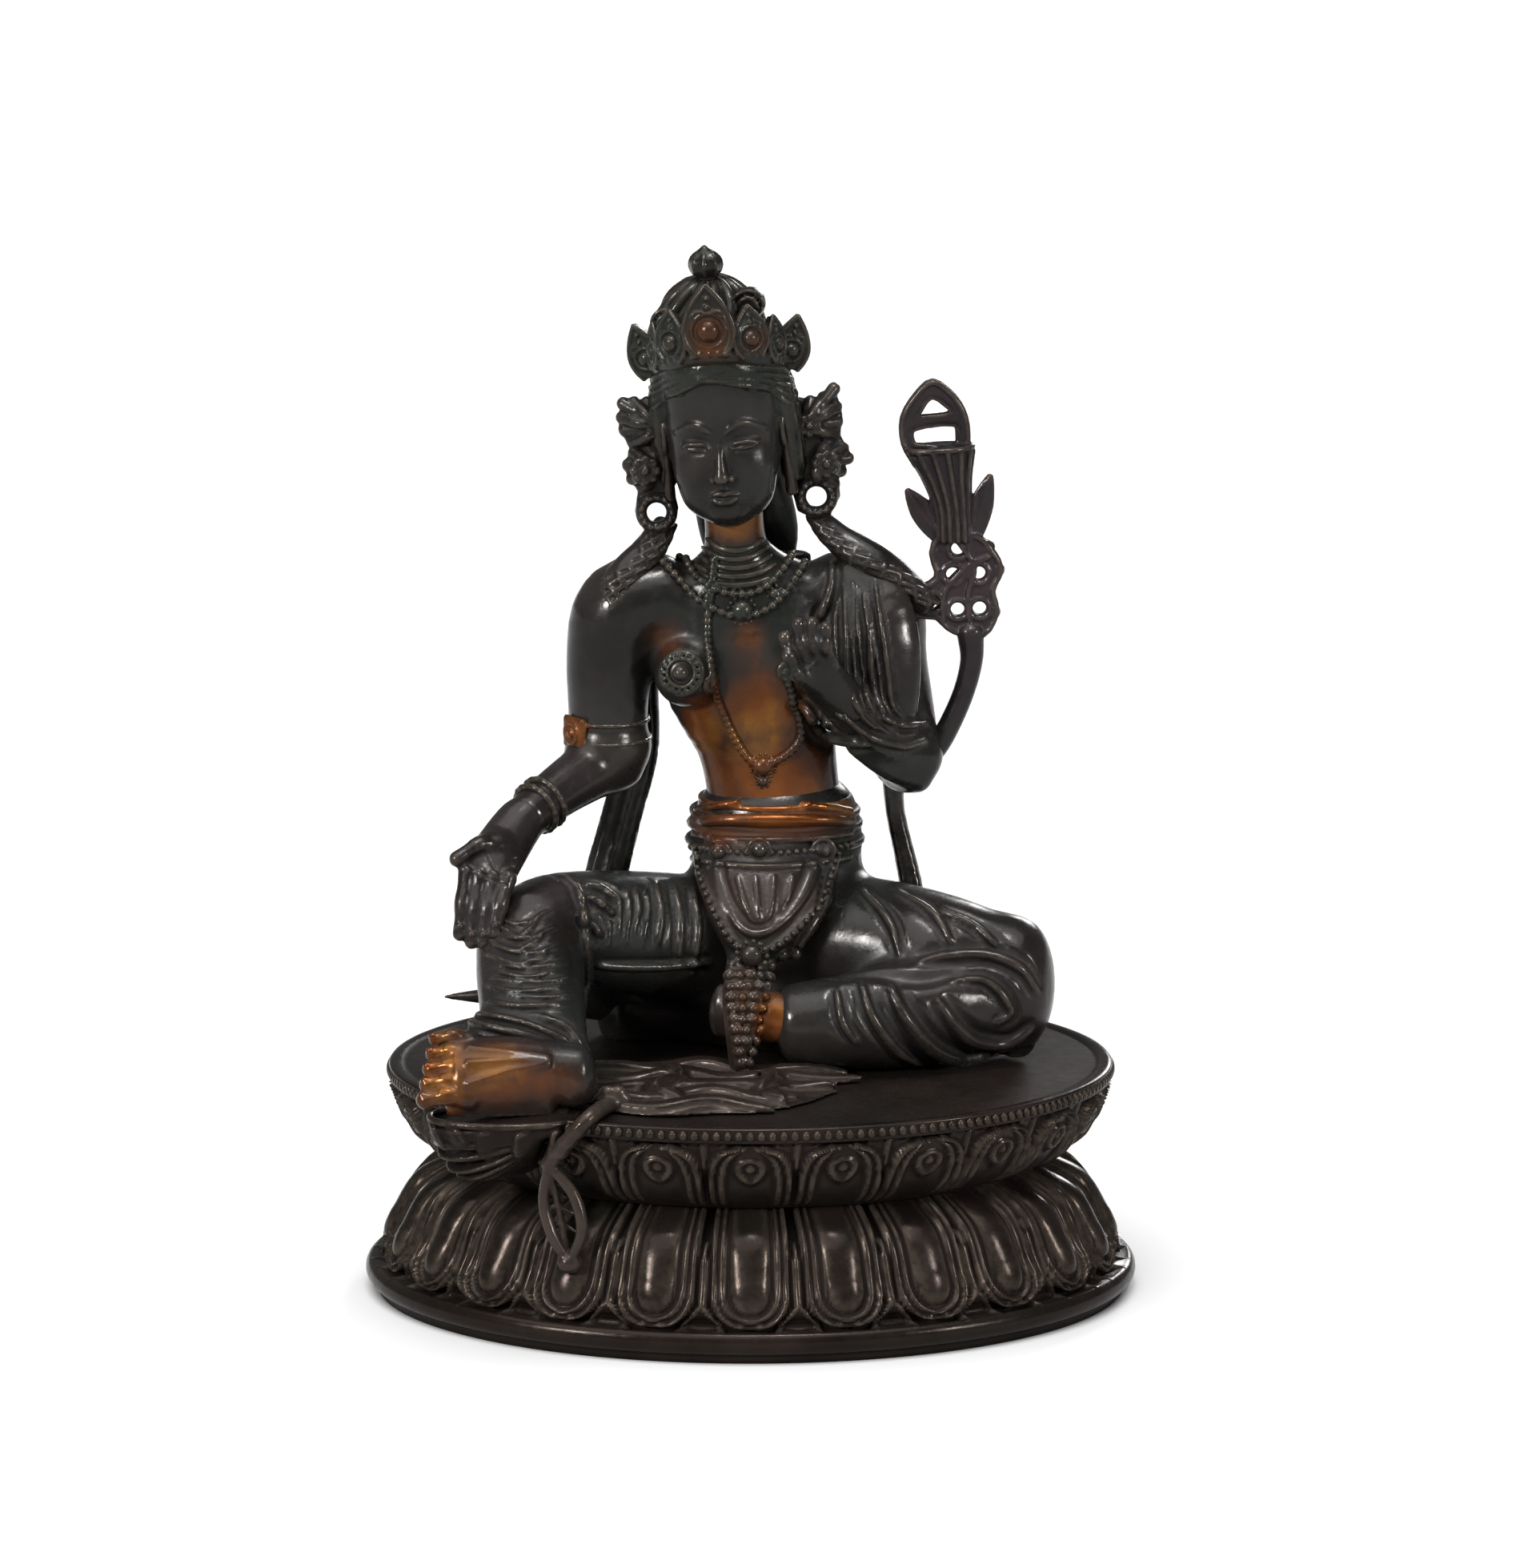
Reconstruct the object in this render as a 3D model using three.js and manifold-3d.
// A seated Tara of cast bronze on an oval double lotus plinth, right foot on a small lotus pad.
// Millimetres, +Z up. The origin is the centre of the plinth's underside, and she faces -Y.
import * as THREE from "three";
import { mergeVertices } from "three/addons/utils/BufferGeometryUtils.js";
import Module from "manifold-3d";

const wasm = await Module();
wasm.setup();

// Plinth sizes
const plinthWidth = 156;
const plinthDepth = 114.5;
const plinthHeight = 47;
const lipHeight = 1.8;
const lipInset = 2.4;
const flangeHeight = 4.6;
const waistHeight = 28;
const waistInset = 27;
const topInset = 5;
const rimHeight = 3.2;
const petalCount = 24;
const petalBoss = 1.5;
const padHeight = 8;
const padBorder = 3.5;
const stalkThickness = 3.4;

// Figure sizes. The figure is a free form: its pose and carving are shares of its height, which
// is divided into this many.
const figureHeight = 164;
const seatGap = 0.3;
const heightShares = 164;
const unit = figureHeight / heightShares;

const BRONZE = { color: 0x2a221c, roughness: 0.42, metalness: 0.75 };
const PLINTH_BRONZE = { color: 0x231d19, roughness: 0.45, metalness: 0.75 };

const deg = THREE.MathUtils.degToRad;
const lerp = THREE.MathUtils.lerp;
const X_AXIS = new THREE.Vector3(1, 0, 0);
const Y_AXIS = new THREE.Vector3(0, 1, 0);
const Z_AXIS = new THREE.Vector3(0, 0, 1);
const vec = (x, y, z) => new THREE.Vector3(x, y, z);

// A closed geometry as a solid that can be joined and cut, turned right side out.
function solidOf(geometry) {
  const bare = new THREE.BufferGeometry();
  bare.setAttribute("position", geometry.getAttribute("position").clone());
  bare.setIndex(geometry.index);
  const merged = mergeVertices(bare, 1e-4);
  const triVerts = new Uint32Array(merged.index.array);
  const mesh = { numProp: 3, vertProperties: merged.attributes.position.array, triVerts };
  const made = new wasm.Manifold(new wasm.Mesh(mesh));
  if (made.volume() > 0) return made;
  for (let i = 0; i < triVerts.length; i += 3) {
    [triVerts[i], triVerts[i + 1]] = [triVerts[i + 1], triVerts[i]];
  }
  return new wasm.Manifold(new wasm.Mesh(mesh));
}

// A solid back as a flat-shaded geometry.
function geometryOf(solid) {
  const { numProp, vertProperties, triVerts } = solid.getMesh();
  const positions = new Float32Array((vertProperties.length / numProp) * 3);
  for (let i = 0; i < positions.length / 3; i++) {
    positions.set(vertProperties.subarray(i * numProp, i * numProp + 3), i * 3);
  }
  const geometry = new THREE.BufferGeometry();
  geometry.setAttribute("position", new THREE.BufferAttribute(positions, 3));
  geometry.setIndex(new THREE.BufferAttribute(triVerts, 1));
  return geometry;
}

// The union of a list of solids, filled wherever it would close over a hollow.
function fused(solids) {
  const whole = solids.reduce((sum, solid) => sum.add(solid));
  const shells = whole.decompose().filter((shell) => shell.volume() > 0);
  return shells.reduce((sum, shell) => sum.add(shell));
}

// A closed skin over rings of points, with a fan over each end. Neighbouring rings may have
// different numbers of points: they are laced together by the share of the way round.
function skin(rings) {
  const positions = [];
  const index = [];
  const push = (p) => positions.push(p.x, p.y, p.z);
  const starts = rings.map((ring) => {
    const start = positions.length / 3;
    ring.forEach(push);
    return start;
  });
  for (let row = 0; row + 1 < rings.length; row++) {
    const [n, m] = [rings[row].length, rings[row + 1].length];
    const [a, b] = [starts[row], starts[row + 1]];
    let [i, j] = [0, 0];
    while (i < n || j < m) {
      if (j === m || (i < n && (i + 1) / n <= (j + 1) / m)) {
        index.push(a + (i % n), a + ((i + 1) % n), b + (j % m));
        i++;
      } else {
        index.push(a + (i % n), b + ((j + 1) % m), b + (j % m));
        j++;
      }
    }
  }
  for (const [row, flip] of [[0, true], [rings.length - 1, false]]) {
    const count = rings[row].length;
    const middle = rings[row].reduce((sum, p) => sum.add(p), vec(0, 0, 0)).divideScalar(count);
    const pole = positions.length / 3;
    push(middle);
    for (let i = 0; i < count; i++) {
      const a = starts[row] + i;
      const b = starts[row] + ((i + 1) % count);
      index.push(...(flip ? [b, a, pole] : [a, b, pole]));
    }
  }
  const geometry = new THREE.BufferGeometry();
  geometry.setAttribute("position", new THREE.Float32BufferAttribute(positions, 3));
  geometry.setIndex(index);
  return geometry;
}

// A limb: an elliptical section at each station [x, y, z, a, b], square to a smooth line through
// them all. Radius a lies along reference x tangent, b square to it. The two ends are drawn in
// and rounded.
function limb(stations, { reference = Y_AXIS, sides = 7, round = 0.5, taper = 0.6 } = {}) {
  const line = new THREE.CatmullRomCurve3(
    stations.map(([x, y, z]) => vec(x, y, z)), false, "catmullrom", 0.5);
  const last = stations.length - 1;
  const rings = stations.map(([x, y, z, a, b = a], step) => {
    const tangent = line.getTangent(step / last);
    const middle = vec(x, y, z);
    const size = new THREE.Vector2(a, b);
    if (step === 0 || step === last) {
      middle.addScaledVector(tangent, (step ? 1 : -1) * Math.min(a, b) * round);
      size.multiplyScalar(taper);
    }
    const u = reference.clone().cross(tangent).normalize();
    const v = tangent.clone().cross(u);
    return Array.from({ length: sides }, (_, i) => {
      const angle = (2 * Math.PI * (i + 0.5)) / sides;
      return middle.clone()
        .addScaledVector(u, Math.cos(angle) * size.x)
        .addScaledVector(v, Math.sin(angle) * size.y);
    });
  });
  return solidOf(skin(rings));
}

// A thin rod along a smooth line.
const rod = (points, radius) =>
  limb(points.map((p) => [...p, radius]), { sides: 3, reference: vec(0.31, 0.9, 0.3) });

// An ellipsoid.
function blob([x, y, z], [rx, ry, rz], sides = 6, rows = 3) {
  const geometry = new THREE.SphereGeometry(1, sides, rows);
  geometry.rotateX(Math.PI / 2).scale(rx, ry, rz).translate(x, y, z);
  return solidOf(geometry);
}

// Points [x, z] round a circle, for a round hole in a plate.
const roundHole = ([x, z], radius, sides = 6) => Array.from({ length: sides }, (_, i) => {
  const angle = (2 * Math.PI * (i + 0.3)) / sides;
  return [x + radius * Math.cos(angle), z + radius * Math.sin(angle)];
});

// An upright slab of an outline of points [x, z], of a thickness about y.
function slab(outline, y, thickness) {
  const shape = new THREE.Shape(outline.map(([x, z]) => new THREE.Vector2(x, z)));
  const geometry = new THREE.ExtrudeGeometry(shape, { depth: thickness, bevelEnabled: false });
  geometry.rotateX(Math.PI / 2).translate(0, y + thickness / 2, 0);
  return solidOf(geometry);
}

// A slab with holes of the given outlines.
const plate = (outline, holes, y, thickness) => holes.reduce(
  (solid, hole) => solid.subtract(slab(hole, y, 2 * thickness)), slab(outline, y, thickness));

// A pointed leaf of some thickness, from its root to its tip, its face turned towards facing.
function leaf(root, tip, width, thickness, facing = vec(0, -1, 0)) {
  const a = vec(...root);
  const b = vec(...tip);
  const shares = [[0, 0.6], [0.5, 1], [1, 0.2]];
  const stations = shares.map(([t, w]) => [
    ...a.clone().lerp(b, t).toArray(), (width / 2) * w, (thickness / 2) * (1 - 0.5 * t)]);
  return limb(stations, { reference: facing, sides: 5, round: 0.4 });
}

// A plain ring of the plinth's round form.
function plainRing([radius, height]) {
  const sides = 2 * petalCount;
  return Array.from({ length: sides }, (_, i) => {
    const angle = (2 * Math.PI * i) / sides;
    return vec(radius * Math.sin(angle), -radius * Math.cos(angle), height);
  });
}

// Rings of petals round the plinth. Each row is [radius, height, petal's share of the pitch, boss
// share, tip share], and each column [place across, lift, boss lift, tip lift]. A column past the
// petal's edge is the row behind.
function petalRings(rows, columns) {
  const pitch = (2 * Math.PI) / petalCount;
  return rows.map(([radius, height, share, boss, tip], row) => {
    const next = rows[Math.min(row + 1, rows.length - 1)];
    const last = rows[Math.max(row - 1, 0)];
    const along = new THREE.Vector2(next[0] - last[0], next[1] - last[1]).normalize();
    return Array.from({ length: petalCount }, (_, i) => columns.map(([across, lift, lobe, point]) => {
      const angle = (i + (Math.abs(across) > 1 ? 0.5 : (across * share) / 2)) * pitch;
      const out = lift + lobe * boss + point * tip;
      const r = radius + along.y * out;
      return vec(r * Math.sin(angle), -r * Math.cos(angle), height - along.x * out);
    })).flat();
  });
}

// The lower tier: long drooping petals and, between them, the tips of the row behind.
function lowerTier(radius) {
  const foot = lipHeight + flangeHeight;
  const rise = waistHeight - foot;
  const rows = [
    [radius - waistInset * 0.185, foot + rise * 0.02, 0.2, 0, 0.7],
    [radius - waistInset * 0.17, foot + rise * 0.12, 0.6, 0.2, 1],
    [radius - waistInset * 0.275, foot + rise * 0.36, 0.88, 0.9, 0.5],
    [radius - waistInset * 0.43, foot + rise * 0.74, 0.84, 1, 0],
    [radius - waistInset * 0.78, foot + rise, 0.74, 0.2, 0],
  ];
  const [border, hollow, crest, notch, tip] = [0.65, 0.2, 0.4, -0.85, 1.25].map((s) => s * petalBoss);
  const columns = [[-0.92, border, 0, 0], [-0.6, hollow, 0, 0], [0, crest, petalBoss, 0],
    [0.6, hollow, 0, 0], [0.92, border, 0, 0], [2, notch, 0, tip]];
  return petalRings(rows, columns);
}

// The upper tier: short broad petals, their rounded tips under the rim.
function upperTier(radius) {
  const foot = waistHeight;
  const rise = plinthHeight - rimHeight - foot;
  const top = radius - topInset;
  const swell = waistInset - topInset;
  const rows = [
    [top - swell * 0.59, foot + rise * 0.015, 0.72, 0.3, 0],
    [top - swell * 0.365, foot + rise * 0.24, 0.94, 1, 0],
    [top - swell * 0.19, foot + rise * 0.6, 0.9, 0.9, 0],
    [top - swell * 0.12, foot + rise * 0.84, 0.64, 0.4, 0],
    [top - swell * 0.08, foot + rise * 0.97, 0.24, 0, 0],
  ];
  const [notch, border, crest] = [-0.6, 0.6, 0.35].map((s) => s * petalBoss);
  const columns = [[-1, notch, 0, 0], [-0.8, border, 0, 0], [0, crest, petalBoss, 0],
    [0.8, border, 0, 0], [1, notch, 0, 0]];
  return petalRings(rows, columns);
}

// The plinth in the round: lip, flange, lower tier, waist, upper tier and rim, as one skin.
function roundPlinth(radius) {
  const flangeTop = lipHeight + flangeHeight;
  const top = radius - topInset;
  const rimFoot = plinthHeight - rimHeight;
  const [ease, bevel] = [flangeHeight * 0.17, rimHeight * 0.25];
  const foot = [[radius - lipInset, 0], [radius - lipInset, lipHeight], [radius - ease, lipHeight],
    [radius, lipHeight + flangeHeight * 0.3], [radius - flangeHeight * 0.26, flangeTop - ease],
    [radius - waistInset * 0.22, flangeTop]];
  const waist = [[radius - waistInset, waistHeight]];
  const rim = [[top - rimHeight * 0.8, rimFoot], [top, rimFoot + bevel], [top, plinthHeight - bevel],
    [top - bevel, plinthHeight]];
  return solidOf(skin([...foot.map(plainRing), ...lowerTier(radius), ...waist.map(plainRing),
    ...upperTier(radius), ...rim.map(plainRing)]));
}

// A place on the figure, drawn from the plinth's top face and scaled with her height.
const place = ([x, y, z]) => [x * unit, y * unit, plinthHeight + z * unit];

// Where her right foot stands: middle of the sole, and half its length and breadth.
const footPlace = [-48, -41.5, 0];
const footReach = [15.5, 8.4];

// The small lotus that her right foot stands on, a cup growing out of the plinth's front.
function footPad() {
  const [x, y, z] = place(footPlace);
  const [a, b] = footReach.map((r) => r * unit);
  const cup = [[1, 0], [1, padBorder], [0.9, padBorder + 0.4], [0.62, padHeight * 0.85],
    [0.3, padHeight * 1.3]];
  const sides = 16;
  const rings = cup.map(([share, drop]) => Array.from({ length: sides }, (_, i) => {
    const angle = (2 * Math.PI * i) / sides;
    const back = 1 - (1 - share) * 0.5;
    return vec(x * back + a * share * Math.cos(angle), y * back + b * share * Math.sin(angle), z - drop);
  }));
  return solidOf(skin(rings));
}

// The lotus stalk that hangs from the rim beside the pad, with a looped leaf at its end.
function stalk() {
  const half = plinthWidth / 2;
  const squash = plinthDepth / plinthWidth;
  // A point at a share of the half width across, inset from the widest outline, and down from the top.
  const hang = (across, inset, drop) => {
    const x = half * across;
    return [x, -squash * Math.sqrt((half - inset) ** 2 - x * x), plinthHeight * (1 - drop)];
  };
  const [thick, rim] = [stalkThickness, topInset];
  const path = [
    hang(-0.346, rim * 3.8, -0.034),
    hang(-0.41, rim * 0.8, -0.013),
    hang(-0.506, rim * 0.7, 0.19),
    hang(-0.519, rim * 0.8, 0.362),
    hang(-0.495, rim * 0.7, 0.51),
    hang(-0.455, rim, 0.617),
  ];
  const side = [path[2], hang(-0.442, rim * 0.8, 0.32), hang(-0.423, rim * 0.7, 0.468), path[5]];
  const [knot, loop] = [[0.88, 0.88, 0.59], [0.76, 0.65, 0.65]];
  return fused([rod(path, thick / 2), rod(side, thick * 0.41),
    blob(path[0], knot.map((s) => s * thick)), blob(path[5], loop.map((s) => s * thick))]);
}

function plinth() {
  const oval = roundPlinth(plinthWidth / 2).scale([1, plinthDepth / plinthWidth, 1]);
  return fused([oval, footPad(), stalk()]);
}

// Hips, belted waist, chest and neck as one limb, with breasts.
function torso() {
  return [
    limb([[4.5, 22, 1, 20, 16], [4.5, 22, 14, 22, 17], [5.3, 21.6, 33, 17.6, 13.8],
      [5.2, 21.2, 41, 17.6, 13.6], [4.8, 20.9, 48, 16.4, 12.6], [4.6, 20.7, 50.4, 13.4, 9.9],
      [3, 20, 62, 14.2, 9.8], [0.6, 19.3, 72, 17.2, 10.6], [-0.8, 18.8, 82, 20.4, 10.6],
      [-1.8, 18, 91, 20, 8.8], [-2.4, 17.4, 97.5, 10, 7], [-3, 16.6, 103, 6.2, 6.2],
      [-3.6, 15.6, 112, 6.1, 6.1]], { sides: 10 }),
    blob([-12.6, 10.8, 77], [6.8, 5.8, 6.8], 8, 5),
    blob([15, 10.8, 78], [6.8, 5.8, 6.8], 8, 5),
  ];
}

// Both legs under their drapery: the right knee raised, the left leg folded flat.
function legs() {
  const lying = { reference: Z_AXIS, sides: 8 };
  return [
    limb([[-1, 21, 17, 15, 14.5], [-22, 6, 24.4, 12.6, 12.6], [-38, -4, 28, 11.6, 11.2],
      [-45, -8.5, 28, 9.4, 9.6]], lying),
    limb([[-44.5, -9, 29.5, 8.6, 10.2], [-43.6, -19, 22.5, 9, 10.8], [-43, -29, 15.6, 7.6, 10.6],
      [-44, -35, 12, 6, 13]], { ...lying, reference: X_AXIS }),
    limb([[6, 22, 17, 14, 16], [22, 14, 20.4, 13.6, 13.6], [38, 6.5, 19, 12.8, 13.2],
      [51.5, 3, 15, 9, 12.6]], lying),
    limb([[52.5, 2, 12.6, 9, 12], [36, -4.6, 11, 9.6, 11], [22, -8.4, 10.2, 9, 10],
      [9, -9.5, 9.6, 7.4, 8.2]], lying),
    limb([[36, 14, 5, 17, 7], [4, 10, 6, 27, 8], [-28, 12, 5, 14, 6]], lying),
  ];
}

// Ridges of drapery that lie on the legs.
function folds() {
  const ridges = [];
  const shinFolds = 3;
  for (let i = 0; i < shinFolds; i++) {
    const t = (i + 0.5) / shinFolds;
    const [y, z] = [lerp(-13, -34, t), lerp(26.6, 12.5, t)];
    const reach = lerp(8.6, 7, t);
    ridges.push(rod([-1, -0.5, 0.5, 1].map((s) => {
      const [out, up] = [Math.sin(s * deg(78)), Math.cos(s * deg(78))];
      const sink = 3.4 * (1 - s * s);
      return [-43.4 + 11 * out, y - reach * 0.55 * up, z + reach * 0.85 * up - sink];
    }), 1.5));
  }
  const kneeFolds = 2;
  for (let i = 0; i < kneeFolds; i++) {
    const size = lerp(1, 0.55, i / (kneeFolds - 1));
    ridges.push(rod([180, 225, 270, 315].map((angle) => {
      const [x, z] = [50 + 19 * size * Math.cos(deg(angle)), 15.5 + 12.5 * size * Math.sin(deg(angle))];
      const middle = lerp(-8.6, 1.5, (x - 22) / 28.5);
      const drop = (z - lerp(10, 11.8, (x - 22) / 28.5)) / 11;
      return [x, middle - 9.4 * Math.sqrt(Math.max(1 - drop * drop, 0.1)) + Math.max(x - 50, 0) * 0.5, z];
    }), 1.4));
  }
  return ridges;
}

// A row of fingers or toes from a line of knuckles, each to its own tip.
function digits(count, knuckle, tip, radius) {
  return Array.from({ length: count }, (_, i) => {
    const t = i / (count - 1);
    return limb([[...knuckle(t), radius(t)], [...tip(t), radius(t)]],
      { sides: 4, round: 0.5, taper: 0.85, reference: vec(0.2, 0.9, 0.35) });
  });
}

// Both feet: the right one rolled outwards on its pad, the left one under the apron.
function feet() {
  return [
    limb([[-34, -39.8, 8.2, 5, 5], [-45, -41, 8, 7, 5.4], [-57, -42.4, 7.4, 7.6, 4]],
      { reference: vec(0, -0.8, 0.6), sides: 6 }),
    ...digits(5, (t) => [-55.5, -38.6 - 7 * t, 12.6 - 10.2 * t],
      (t) => [-61.4 - 2 * t, -39 - 7.2 * t, 12.2 - 9.8 * t], (t) => lerp(1.9, 2.5, t)),
    limb([[14, -10, 9, 6, 5], [2, -13, 11.5, 4.6, 6], [-6, -12, 12.5, 3.2, 6]],
      { reference: Z_AXIS, sides: 6 }),
  ];
}

// The apron that falls from the belt over the lap, and its hanging sash.
function apron() {
  const front = { reference: vec(0, -1, 0) };
  return [
    limb([[4.4, 13, 44, 13.6, 6], [3.6, 8, 36.6, 14.2, 7], [2, 2.5, 28.6, 11.4, 6.6],
      [-0.2, -3.6, 20.8, 4, 3.2]], front),
    limb([[0, -2, 21, 4.4, 1.8], [-0.2, -9, 12, 4.6, 2], [-0.4, -15.6, 3, 3.4, 1.6]],
      { ...front, sides: 5 }),
  ];
}

// Her right arm: down to the elbow, forearm out over the knee, palm open with fingers down.
function rightArm() {
  return [
    limb([[-17, 18.5, 92, 8], [-25.6, 18.6, 88.6, 9.6], [-28.4, 19.2, 79, 8.8], [-28.8, 19.8, 65, 8],
      [-28.8, 19.6, 60, 8.8], [-28.6, 19.6, 55.6, 7]]),
    limb([[-28.6, 19.5, 57.6, 6.6], [-38, 8.6, 53.6, 5.3], [-44.6, 0.6, 50, 4.6, 4.6],
      [-46.6, -2, 48.6, 5.2, 4.6], [-50, -9.5, 44.8, 5.4, 2.9], [-52.6, -14, 39.4, 5.2, 2.4]],
      { reference: vec(0, -1, 0.4) }),
    ...digits(4, (t) => [-56.2 + 8 * t, -14.2 - 0.4 * t, 41.4 - 1.2 * t],
      (t) => [-57.6 + 7 * t, -18.4 - 0.6 * t, 29.6 + 1.2 * Math.abs(t - 0.35)], () => 1.7),
    limb([[-49.5, -9, 45.6, 2.4], [-58.4, -13.6, 45, 1.5]], { sides: 5, reference: Z_AXIS }),
    blob([-34.8, 17, 60], [3.4, 3, 3.6]),
  ];
}

// Her left arm: elbow out, forearm up to the breast, thumb and finger together.
function leftArm() {
  return [
    limb([[16, 19.5, 92, 8], [25, 20, 89, 9.4], [27.2, 19.4, 78, 8.4], [29.2, 17.4, 67, 8],
      [31.8, 14.6, 58.6, 6.8]]),
    limb([[32.2, 14, 58, 6.6], [25, 6, 66.4, 5.8], [18.6, -0.4, 73.6, 4.6], [17.2, -1.8, 75.4, 4.9],
      [14.4, -4.6, 79.2, 4.6, 2.6], [12.2, -6, 82.6, 4.6, 2.2]], { reference: vec(0, -1, 0.2) }),
    ...digits(4, (t) => [9.4 + 6.4 * t, -5.8, 81.4 + 1.6 * t],
      (t) => [7.4 + 6 * t, -7.4, 87 + 3.8 * t], () => 1.6),
    limb([[12.6, -5.6, 78.6, 2], [8, -8, 84, 1.4]], { sides: 5, reference: Z_AXIS }),
  ];
}

// The shawl on her left shoulder and arm, with its falling folds.
function shawl() {
  const pleats = 3;
  const cloth = limb([[20, 15, 97, 8, 3.4], [24, 9.6, 88, 9, 4], [25.6, 7.6, 78, 8.6, 4],
    [27, 9, 67, 6.4, 4]], { reference: vec(0, -1, 0), sides: 6 });
  const ridges = Array.from({ length: pleats }, (_, i) => {
    const t = i / (pleats - 1);
    return rod([[15.5 + 9 * t, 11.5 + t, 97 - 2 * t], [18 + 12 * t, 6.4 + 2.6 * t * t, 87],
      [20 + 11 * t, 4.6 + 3 * t * t, 76], [24 + 8 * t, 5.6 + 4 * t, 66 - 2 * t]], 1.3);
  });
  const hem = rod([[12, 10, 70], [20, 4.6, 64], [28, 6, 57.6], [34, 11, 54.6]], 1.6);
  return [cloth, hem, ...ridges];
}

// The scarves that fall behind her arms onto the seat.
function scarves() {
  const band = { sides: 5 };
  return [
    limb([[-16, 26, 92, 5, 2], [-22.6, 27.6, 76, 4.4, 2], [-22.8, 27, 58, 4.2, 1.8],
      [-26.6, 25.4, 43, 4.2, 1.8], [-30, 23.4, 27, 4.6, 2.6], [-26, 20, 14, 5, 4]], band),
    limb([[-22, 18, 9, 8, 7], [-42, 16, 8.6, 4.6, 4.6], [-61, 9.6, 10.4, 1.2, 1.4]],
      { ...band, reference: Z_AXIS }),
    limb([[22, 27, 90, 5, 2], [27, 27, 74, 4, 2], [29, 26, 56, 2.8, 2], [29.4, 27, 45, 2, 1.8],
      [33, 23.4, 27, 2.6, 2.2], [31, 18, 14, 4, 4]], band),
    limb([[-2.6, 27, 96, 15, 3], [0, 30, 78, 14, 3], [3, 32, 58, 11, 3], [4.6, 35, 40, 13, 3.6],
      [4.6, 37, 14, 17, 4.6]], { sides: 6 }),
  ];
}

// Necklaces, chain and pendant jewels as rods that lie on the body.
function jewellery() {
  const collar = (drop, half, front) => rod([-1, -0.6, 0, 0.6, 1].map((s) =>
    [-2 + half * s, front + 3.6 * s * s, 97 - drop * (1 - s * s)]), 1.2);
  return [
    collar(3, 8, 9), collar(7, 11, 8.6),
    rod([[-15, 11.5, 88], [-6, 8.8, 66], [2.3, 9.8, 58.6], [8, 9, 63], [10.4, 7.4, 72]], 1.1),
    blob([-1.9, 8.4, 89.6], [2.2, 1.8, 2.2]),
    blob([2.3, 8.8, 58.6], [2.2, 1.8, 2.4]),
    blob([-0.2, -4.8, 22.6], [2.6, 2.2, 2.4]),
  ];
}

// Turns a place on the upright head into the tilted, turned head's place on the figure.
const headTurn = new THREE.Matrix4()
  .makeRotationFromEuler(new THREE.Euler(deg(4), deg(-4.5), deg(-6), "ZYX"))
  .setPosition(-4.7, 13, 122.5);
const onHead = (solid) => solid.transform(headTurn.toArray());

// Head with its diadem band, long-lobed ears, hair and the face's main forms.
function head() {
  const parts = [
    limb([[0, -4.2, -12, 4.2, 3.6], [0, -3, -8, 7.8, 7], [0, -1.6, -1, 10, 9.6], [0, -0.4, 6, 10.8, 11.4],
      [0, 0.4, 15, 11.4, 11.8], [0, 0.6, 18, 13, 13.2], [0, 0.6, 20.6, 12.8, 13], [0, 1, 22, 9.6, 10]],
    { sides: 10 }),
    limb([[0, -10.6, 4.4, 0.9, 1], [0, -12, -2, 1.9, 1.5]], { sides: 5 }),
    blob([0, -10.2, -5.6], [2.9, 1.6, 1.4]),
    ...[-1, 1].flatMap((side) => [
      limb([[side * 9.6, -2, 6, 1.6, 2.6], [side * 12.2, 0.4, -9.4, 1.3, 1.9]], { sides: 5 }),
      limb([[side * 11, 2, 15, 3.6, 6], [side * 12.6, 2.4, 5, 3.6, 6], [side * 12.6, 3, -6, 2.6, 4.4]],
        { sides: 5 }),
      blob([side * 4.8, -9.4, 3.2], [2.6, 1.4, 1]),
    ]),
    limb([[0, 8, 16, 9, 5], [0, 12.6, 4, 9, 4], [0, 14, -8, 9.6, 3.4], [1, 16.4, -22, 10, 3],
      [2, 16, -32, 7, 2.4]], { sides: 5 }),
  ];
  return parts.map(onHead);
}

// The five leaves of the diadem, the hair knot above it and the jewel on top.
function crown() {
  const leaves = [[0, 14, 10], [42, 11, 9], [-42, 11, 9]];
  const parts = [
    blob([-1.4, 2, 23], [10.8, 10.4, 12], 9, 6),
    limb([[-1.1, 1, 32, 3.4], [-1.1, 1, 35, 2], [-1.1, 1, 37.6, 3.8], [-1.1, 1, 41, 0.6]],
      { sides: 6, round: 0.2 }),
    blob([7.6, -1, 30], [3.6, 4.4, 3.2]),
    blob([-0.6, -13, 26], [3, 1.8, 3]),
    ...[-1, 1].map((side) => leaf([side * 12.4, 1, 17], [side * 16.8, 1, 27.4], 8.4, 3.4)),
    ...leaves.map(([angle, height, width]) => {
      const [s, c] = [Math.sin(deg(angle)), Math.cos(deg(angle))];
      return leaf([11.4 * s, 0.6 - 11.6 * c, 18.6], [15.4 * s, 0.6 - 13.6 * c, 18.6 + height], width, 3,
        vec(s, -c, 0));
    }),
  ];
  return parts.map(onHead);
}

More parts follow.
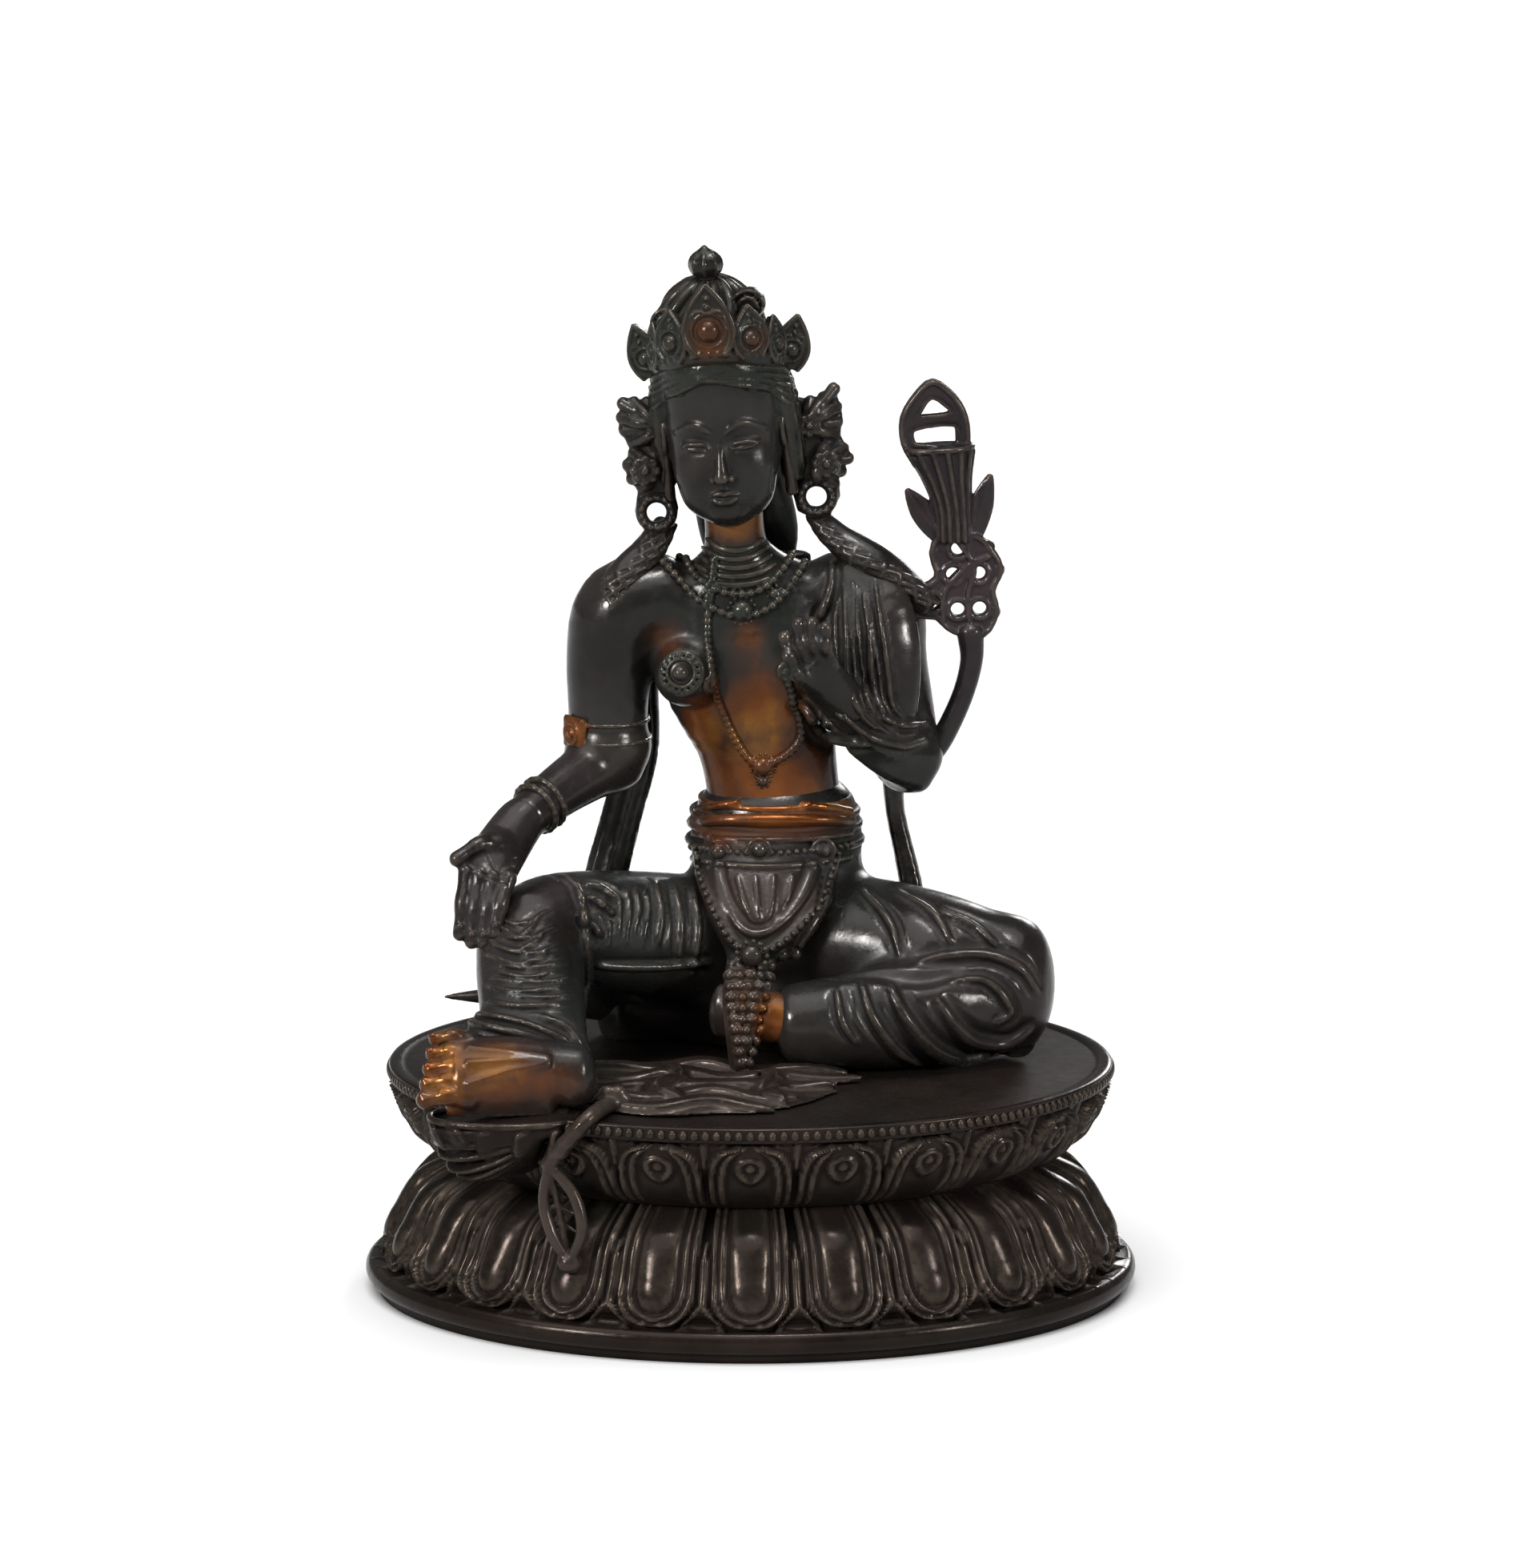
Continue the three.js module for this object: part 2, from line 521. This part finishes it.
// Ear rings under ribbon rosettes beside the ears, and the locks that fall on the shoulders.
function earOrnaments() {
  const left = [[-14.6, 131], [-20, 131.6], [-25.8, 132.4], [-26.4, 126], [-24, 122.2], [-25.4, 118],
    [-22.6, 113.4], [-23.2, 109.3], [-21.4, 105.4], [-18.2, 104.8], [-15.2, 106.4], [-14.4, 110],
    [-15.4, 114]];
  const right = [[8.4, 133], [12.6, 131.6], [16.6, 135.4], [18.4, 129], [18, 124.8], [20.2, 120.6],
    [17.6, 116.6], [18, 112.4], [16, 108.4], [12.8, 107.6], [9.4, 109.4], [8.4, 113], [9.6, 118]];
  return [
    plate(left, [roundHole([-18.8, 109.3], 2)], 14, 4.4),
    plate(right, [roundHole([13.2, 112.5], 2.2)], 14, 4.4),
    limb([[-18.6, 14.6, 107, 3], [-21.4, 15, 101, 4.2], [-25.6, 14, 95.4, 4.4], [-27.4, 12, 89.4, 2.4]],
      { sides: 5 }),
    limb([[14.4, 14.6, 109.6, 2.8], [19, 14, 103.4, 4], [26, 14, 98.6, 4.2], [35, 15.8, 91, 3]],
      { sides: 5 }),
  ];
}

// The lotus spray at her left shoulder: stem, pierced scrolls, flower and open bud.
function lotusSpray() {
  const depth = 16;
  const scrolls = [[37.4, 87.6], [41, 84.6], [46.8, 84], [49.4, 88.6], [48.6, 93], [50.2, 97.4],
    [48, 101.6], [44.6, 104.4], [38.6, 105], [36.4, 100.6], [37.4, 95.4], [32.6, 92.4], [32.4, 88.4]];
  const eyes = [[36.4, 90.6], [41.6, 89.2], [46, 89.4], [40.6, 96.4], [45.8, 96.6], [41.6, 101.6]];
  const bud = [[33, 118.6], [30.6, 123], [30.4, 128], [33, 132.6], [36.4, 135.4], [40.6, 132.4],
    [43, 128], [43.4, 123], [42.6, 118.6]];
  const lowWindow = [[32.8, 122.6], [32.6, 125.8], [40.8, 126.8], [41, 122.6]];
  const highWindow = [[33.2, 128.2], [36.2, 132.4], [40.2, 129.2]];
  return [
    limb([[32.4, 14.4, 59, 3], [37.2, depth, 60.4, 2.4], [42, depth, 69.5, 2.5], [44.4, depth, 78, 2.7],
      [44.2, depth, 84.6, 3]], { sides: 5 }),
    plate(scrolls, eyes.map((eye) => roundHole(eye, 1.5)), depth, 3),
    limb([[40.8, depth, 103.4, 3.8, 2.4], [40.4, depth, 110, 3.8, 2.8], [39.2, depth, 116, 5, 3.6],
      [37.9, depth, 121.4, 6.9, 4.6]], { round: 0.05, taper: 1 }),
    leaf([38.8, depth, 103], [31.4, depth, 113.4], 4.8, 2.6),
    leaf([43.6, depth, 101.6], [48, depth, 116.4], 4.8, 2.6),
    plate(bud, [lowWindow, highWindow], depth, 2.8),
  ];
}

// The whole figure, scaled to its height, set on the plinth and cut off level just above it.
function figure() {
  const drawn = fused([...torso(), ...legs(), ...folds(), ...feet(), ...apron(), ...rightArm(),
    ...leftArm(), ...shawl(), ...scarves(), ...jewellery(), ...head(), ...crown(),
    ...earOrnaments(), ...lotusSpray()]);
  const seat = plinthHeight + seatGap;
  const below = new THREE.BoxGeometry(4 * plinthWidth, 4 * plinthWidth, figureHeight);
  below.translate(0, 0, seat - figureHeight / 2);
  return drawn.scale([unit, unit, unit]).translate([0, 0, plinthHeight]).subtract(solidOf(below));
}

function piece(name, solid, finish) {
  const mesh = new THREE.Mesh(geometryOf(solid), new THREE.MeshStandardMaterial(finish));
  mesh.name = name;
  return mesh;
}

const tara = new THREE.Group();
tara.name = "tara_on_lotus_plinth";
tara.add(piece("lotus_plinth", plinth(), PLINTH_BRONZE));
tara.add(piece("tara_figure", figure(), BRONZE));

export default tara;
